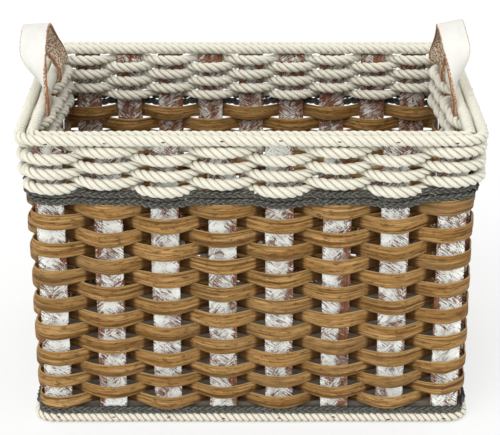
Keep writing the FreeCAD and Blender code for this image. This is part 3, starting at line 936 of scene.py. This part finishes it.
def strap_path(side_name, side, joint):
    """Middle line of a strap from one held end over its loop to the other, and the way across it."""
    axis_x, _, axis_z = joint["pos_m"]
    tail_low, tail_high = (np.array(corner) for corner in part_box(f"{side_name}_strap_tails"))
    held_x = tail_high[0] - STRAP_THICK / 2 if side > 0 else tail_low[0] + STRAP_THICK / 2
    leg = tail_high[1] - STRAP_WIDE / 2
    jog = abs(held_x - axis_x)
    bend_top = middle("rim_inner_rope")[2] - STRAP_UNDER_RIM
    tail_z = np.linspace(tail_low[2], axis_z, TAIL_STEPS, endpoint=False)
    drawn = smooth((tail_z - bend_top + jog) / jog)
    tail = np.stack([held_x + (axis_x - held_x) * drawn, np.full(TAIL_STEPS, -leg), tail_z], -1)
    arch = np.linspace(0, math.pi, LOOP_STEPS)
    flat = smooth(np.minimum(arch, math.pi - arch) / STRAP_FLAT)
    rear = np.where(arch > math.pi / 2, 1 - flat, 0.0) * smooth((math.pi - arch) / REAR_SETTLE)
    twist = np.where(arch > math.pi / 2, math.pi - math.pi / 2 * flat, math.pi / 2 * flat)
    twist = twist - rear * STRAP_TURN[side_name]
    rise = STRAP_RISE * np.sin(arch)
    lean = STRAP_LEAN[side_name] * smooth(rise / (STRAP_RISE / 4))
    over = side * (STRAP_WIDE / 2 * np.sin(math.pi / 2 * flat) - STRAP_SHIFT[side_name] * rear)
    loop = np.stack([
        axis_x + over * np.cos(lean) - side * rise * np.sin(lean),
        -leg * np.cos(arch),
        axis_z + rise * np.cos(lean) + side * over * np.sin(lean),
    ], -1)
    turned = np.concatenate([np.zeros(TAIL_STEPS), twist, np.full(TAIL_STEPS, math.pi)])
    leaning = np.concatenate([np.zeros(TAIL_STEPS), lean, np.zeros(TAIL_STEPS)])
    across = np.stack([
        side * np.sin(turned) * np.cos(leaning), np.cos(turned), np.sin(turned) * np.sin(leaning)
    ], -1)
    return np.concatenate([tail, loop, tail[::-1] * np.array([1, -1, 1])]), across


def make_strap(side_name, side):
    """One strap, white outside, suede inside and raw along its edges."""
    joint = next(joint for joint in frame["joints"] if joint["child"] == f"{side_name}_handle")
    path, across = strap_path(side_name, side, joint)
    back = unit(np.cross(tangents(path, False), across)) * side
    section = rounded_section(STRAP_WIDE, STRAP_THICK, STRAP_ROUND)
    steps = len(path)
    wider = 1 + drift(np.linspace(0, 0.4, steps), STRAP_UNEVEN, 0.05)
    rings = path[:, None] + across[:, None] * (section[:, 0] * wider[:, None])[..., None]
    rings = rings - back[:, None] * section[:, 1][None, :, None]
    along = np.concatenate([[0], np.cumsum(np.linalg.norm(np.diff(path, axis=0), axis=1))])
    around = run_along(section)
    middles = (section + np.roll(section, -1, axis=0)) / 2
    flat = np.abs(middles[:, 0]) < STRAP_WIDE / 2 - STRAP_ROUND * 0.9
    group = np.where(flat, np.where(middles[:, 1] < 0, 1, 0), 2)
    tubes = Tubes(4)
    rim = smooth((np.abs(section[:, 0]) - STRAP_WIDE / 2 + RAW_RIM) / RAW_RIM_OVER) * (section[:, 1] < 0)
    tubes.add(rings, along + side, around, False, rim, group)
    faces = [MATERIALS[key] for key in ("strap_out", "strap_in", "strap_edge")]
    strap = tubes.build(f"{side_name}_strap", faces)
    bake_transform(strap)
    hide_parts(f"{side_name}_handle_strap", f"{side_name}_strap_tails")
    return strap


def plain_rays(tree):
    """Where a ray comes straight from the camera, off a mirror or through glass."""
    path = tree.nodes.new("ShaderNodeLightPath")
    seen = path.outputs["Is Camera Ray"]
    for other in ("Is Glossy Ray", "Is Transmission Ray"):
        either = tree.nodes.new("ShaderNodeMath")
        either.operation = "MAXIMUM"
        tree.links.new(seen, either.inputs[0])
        tree.links.new(path.outputs[other], either.inputs[1])
        seen = either.outputs[0]
    return seen


def make_floor():
    """Plain pale floor."""
    mesh = bpy.data.meshes.new("floor")
    corners = [(x * FLOOR_REACH, y * FLOOR_REACH, 0) for x, y in ((-1, -1), (1, -1), (1, 1), (-1, 1))]
    mesh.from_pydata(corners, [], [(0, 1, 2, 3)])
    floor = bpy.data.objects.new("floor", mesh)
    bpy.context.scene.collection.objects.link(floor)
    pale = bpy.data.materials.new("pale_floor")
    pale.use_nodes = True
    tree = pale.node_tree
    surface = tree.nodes["Principled BSDF"]
    surface.inputs["Base Color"].default_value = (0.84, 0.85, 0.84, 1)
    surface.inputs["Roughness"].default_value = 0.9
    surface.inputs["Specular IOR Level"].default_value = 0.1
    white = tree.nodes.new("ShaderNodeEmission")
    white.inputs["Strength"].default_value = 1.0
    share = tree.nodes.new("ShaderNodeMath")
    share.operation = "MULTIPLY"
    share.inputs[1].default_value = FLOOR_GLOW
    tree.links.new(plain_rays(tree), share.inputs[0])
    mixed = tree.nodes.new("ShaderNodeMixShader")
    tree.links.new(share.outputs[0], mixed.inputs[0])
    tree.links.new(surface.outputs[0], mixed.inputs[1])
    tree.links.new(white.outputs[0], mixed.inputs[2])
    tree.links.new(mixed.outputs[0], tree.nodes["Material Output"].inputs["Surface"])
    mesh.materials.append(pale)


def make_light():
    """Even white light from all round, and a soft sun from the front left."""
    world = bpy.data.worlds.new("soft_white")
    world.use_nodes = True
    tree = world.node_tree
    light = tree.nodes["Background"]
    light.inputs["Color"].default_value = (1, 1, 1, 1)
    light.inputs["Strength"].default_value = WORLD_STRENGTH
    seen = tree.nodes.new("ShaderNodeBackground")
    seen.inputs["Color"].default_value = (1, 1, 1, 1)
    mixed = tree.nodes.new("ShaderNodeMixShader")
    tree.links.new(plain_rays(tree), mixed.inputs[0])
    tree.links.new(light.outputs[0], mixed.inputs[1])
    tree.links.new(seen.outputs[0], mixed.inputs[2])
    tree.links.new(mixed.outputs[0], tree.nodes["World Output"].inputs["Surface"])
    bpy.context.scene.world = world
    key = bpy.data.lights.new("soft_key", "SUN")
    key.energy = SUN_STRENGTH
    key.angle = SUN_SPREAD
    lamp = bpy.data.objects.new("soft_key", key)
    lamp.rotation_euler = SUN_TURN
    bpy.context.scene.collection.objects.link(lamp)


def make_camera():
    data = bpy.data.cameras.new("camera")
    data.sensor_width = SENSOR_MM
    data.lens = LENS_MM
    camera = bpy.data.objects.new("camera", data)
    camera.location = CAMERA_PLACE
    camera.rotation_euler = (math.pi / 2 - CAMERA_DOWN, 0, 0)
    bpy.context.scene.collection.objects.link(camera)
    bpy.context.scene.camera = camera


board = frame["nodes"]["base_board"]
board.data.materials.clear()
board.data.materials.append(MATERIALS["board"])
for leg in legs:
    for number in range(1, len(wall_nodes(leg.wall)) + 1):
        make_stake(leg, number)
for number in range(1, REED_ROWS + 1):
    make_reed(number)
for number in range(1, ROPE_ROWS + 1):
    make_rope_row(number)
make_laid_ropes()
make_braids()
make_strap("left", -1)
make_strap("right", 1)
make_floor()
make_light()
make_camera()
bpy.context.scene.view_settings.view_transform = "Standard"
